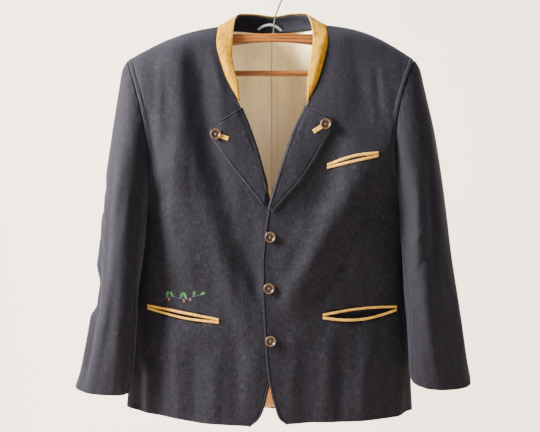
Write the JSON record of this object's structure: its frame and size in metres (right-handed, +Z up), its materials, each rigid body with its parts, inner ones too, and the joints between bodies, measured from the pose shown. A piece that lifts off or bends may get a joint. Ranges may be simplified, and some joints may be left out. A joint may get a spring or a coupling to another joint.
{
  "type": "tyrolean jacket on a wooden hanger",
  "caption": "Dark folk-dress jacket with a tan suede stand collar, turned lapels and welted pockets, buttoned on a wooden hanger with a bar.",
  "frame": {"origin": "inside of the hook's bend, where the hanger bears on its rail", "axes": "+Z up, -Y towards the jacket's front, +X towards the wearer's left"},
  "size_m": [0.756, 0.1568, 0.8501],
  "materials": {
    "charcoal_cloth": "matte plain-woven linen and wool cloth, charcoal with a faint blue cast",
    "tan_suede": "napped suede, golden tan",
    "beige_lining": "smooth satin lining with small woven dots",
    "horn_button": "polished dark horn with a pale rim",
    "beech_wood": "clear-varnished beech",
    "steel_wire": "plain steel wire",
    "grey_tape": "woven grey tape"
  },
  "bodies": {
    "root": {"front_right": "charcoal_cloth", "front_left": "charcoal_cloth", "back_right": "charcoal_cloth", "back_left": "charcoal_cloth", "lining_back_right": "beige_lining", "lining_back_left": "beige_lining", "sleeve_right_upper": "charcoal_cloth", "sleeve_right_under": "charcoal_cloth", "sleeve_left_upper": "charcoal_cloth", "sleeve_left_under": "charcoal_cloth", "collar_suede": "tan_suede", "collar_facing": "charcoal_cloth", "lapel_right": "charcoal_cloth", "lapel_left": "charcoal_cloth", "lapel_tab_right": "tan_suede", "lapel_tab_left": "tan_suede", "chest_pocket_upper_welt": "tan_suede", "chest_pocket_lower_welt": "tan_suede", "hip_pocket_right_upper_welt": "tan_suede", "hip_pocket_right_lower_welt": "tan_suede", "hip_pocket_left_upper_welt": "tan_suede", "hip_pocket_left_lower_welt": "tan_suede", "front_button_1": "horn_button", "front_button_2": "horn_button", "front_button_3": "horn_button", "lapel_button_right": "horn_button", "lapel_button_left": "horn_button", "hang_loop": "grey_tape", "hanger_bow": "beech_wood", "hanger_bar": "beech_wood", "hanger_hook": "steel_wire"}
  },
  "joints": []
}
